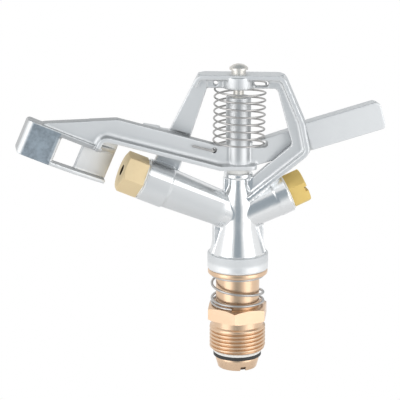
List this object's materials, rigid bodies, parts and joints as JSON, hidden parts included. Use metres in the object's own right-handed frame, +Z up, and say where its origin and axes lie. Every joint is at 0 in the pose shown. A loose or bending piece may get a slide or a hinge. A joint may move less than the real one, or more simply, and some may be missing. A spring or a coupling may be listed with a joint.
{
  "type": "impact sprinkler",
  "caption": "Full-circle impact sprinkler: threaded brass bearing, cast turning head with main and rear nozzles, and a spring-loaded swinging arm with spoon and counterweight.",
  "frame": {"origin": "on the riser axis, level with the lower face of the threaded nipple", "axes": "+Z up along the riser axis, -X towards the main nozzle and the arm's spoon"},
  "size_m": [0.2159, 0.0374, 0.1836],
  "materials": {
    "cast_metal": "bright cast, satin",
    "bearing_brass": "turned, bright",
    "nozzle_brass": "drawn hexagon, bright",
    "spring_steel": "drawn wire",
    "pin_steel": "turned",
    "white_washer": "matt",
    "black_rubber": "matt"
  },
  "bodies": {
    "bearing": {"bearing_nipple": "bearing_brass", "ptfe_washer": "white_washer", "bearing_spring": "spring_steel"},
    "spring_seat": {"spring_washer": "spring_steel", "thrust_ring": "bearing_brass"},
    "head": {"body_casting": "cast_metal", "bearing_stem": "bearing_brass", "rubber_washer": "black_rubber", "main_nozzle": "nozzle_brass", "main_nozzle_gasket": "white_washer", "rear_nozzle": "nozzle_brass", "rear_nozzle_gasket": "white_washer", "pivot_pin": "pin_steel", "pin_collar": "pin_steel", "arm_seat_washer": "white_washer", "arm_spring": "spring_steel"},
    "arm": {"swing_arm": "cast_metal", "hub_bush_upper": "white_washer", "hub_bush_lower": "white_washer"}
  },
  "joints": [
    {"name": "head_press", "type": "slide", "parent": "bearing", "child": "spring_seat", "axis": [0, 0, -1], "range_m": [0, 0.003], "stiffness_N_per_m": 1500, "springref_m": -0.01, "deforming": ["bearing_spring"]},
    {"name": "head_turn", "type": "hinge", "parent": "spring_seat", "child": "head", "pos_m": [0, 0, 0], "axis": [0, 0, 1], "continuous": true},
    {"name": "arm_swing", "type": "hinge", "parent": "head", "child": "arm", "pos_m": [0, 0, 0.1108], "axis": [0, 0, 1], "range_deg": [0, 115], "stiffness_Nm_per_rad": 0.03, "springref_deg": -34.38, "deforming": ["arm_spring"]}
  ]
}
